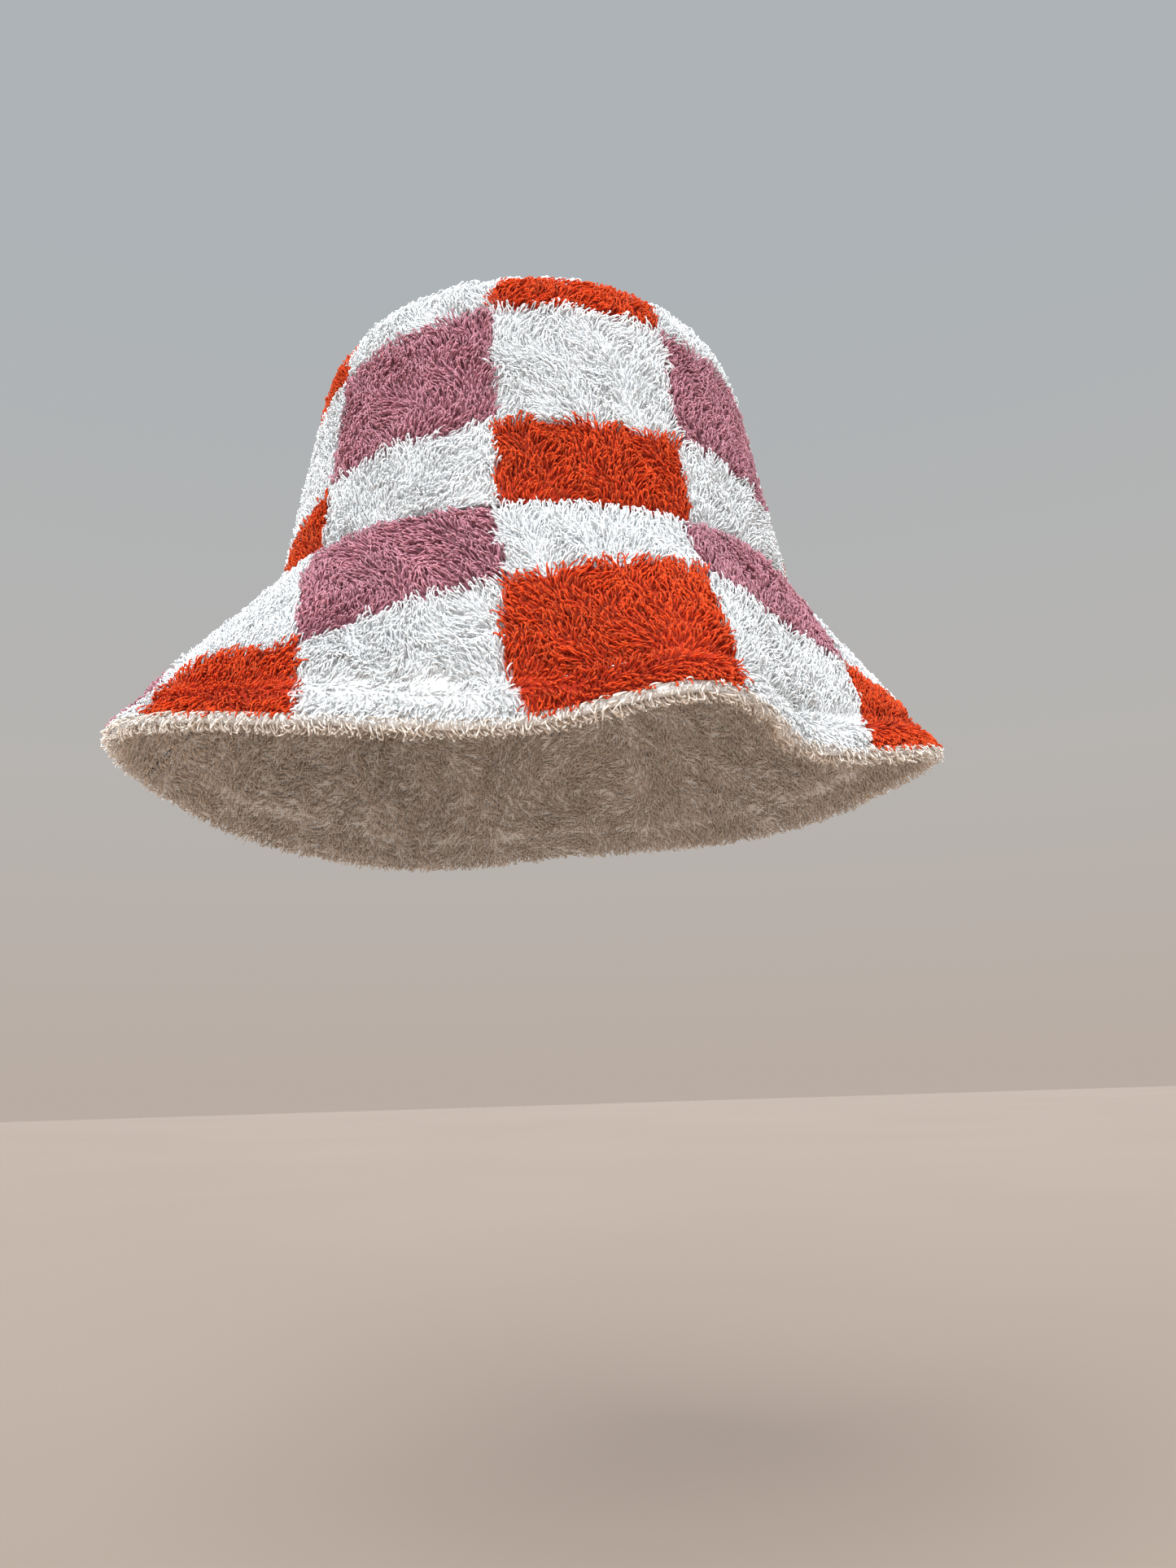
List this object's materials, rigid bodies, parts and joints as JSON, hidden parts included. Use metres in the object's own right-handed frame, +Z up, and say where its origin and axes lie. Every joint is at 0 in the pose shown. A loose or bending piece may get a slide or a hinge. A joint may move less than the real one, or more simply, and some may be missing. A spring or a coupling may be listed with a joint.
{
  "type": "bucket hat",
  "caption": "Soft towelling bucket hat with a rounded crown, a wavy drooping brim, checks in orange, pink and white, and a plain white lining.",
  "frame": {"origin": "middle of the head opening, level with the seam between crown and brim", "axes": "+Z up along the crown, -Y towards the front of the hat, +X to the wearer's left"},
  "size_m": [0.2862, 0.2725, 0.179],
  "materials": {
    "checked_towelling": "long loop pile woven in checks of orange red, dusty pink and white",
    "white_towelling": "long white loop pile",
    "interlining": "matt woven stiffener",
    "thread": "matt spun sewing thread",
    "woven_label": "flat woven tape, blank"
  },
  "bodies": {
    "root": {"crown_tip": "checked_towelling", "side_band_front": "checked_towelling", "side_band_back": "checked_towelling", "brim_front": "checked_towelling", "brim_back": "checked_towelling", "lining_tip": "white_towelling", "lining_band_front": "white_towelling", "lining_band_back": "white_towelling", "underbrim_front": "white_towelling", "underbrim_back": "white_towelling", "brim_interlining_front": "interlining", "brim_interlining_back": "interlining", "tip_seam_thread": "thread", "crown_seam_thread": "thread", "brim_topstitch_thread": "thread", "band_seam_thread_left": "thread", "band_seam_thread_right": "thread", "brim_seam_thread_left": "thread", "brim_seam_thread_right": "thread", "size_label": "woven_label"}
  },
  "joints": []
}
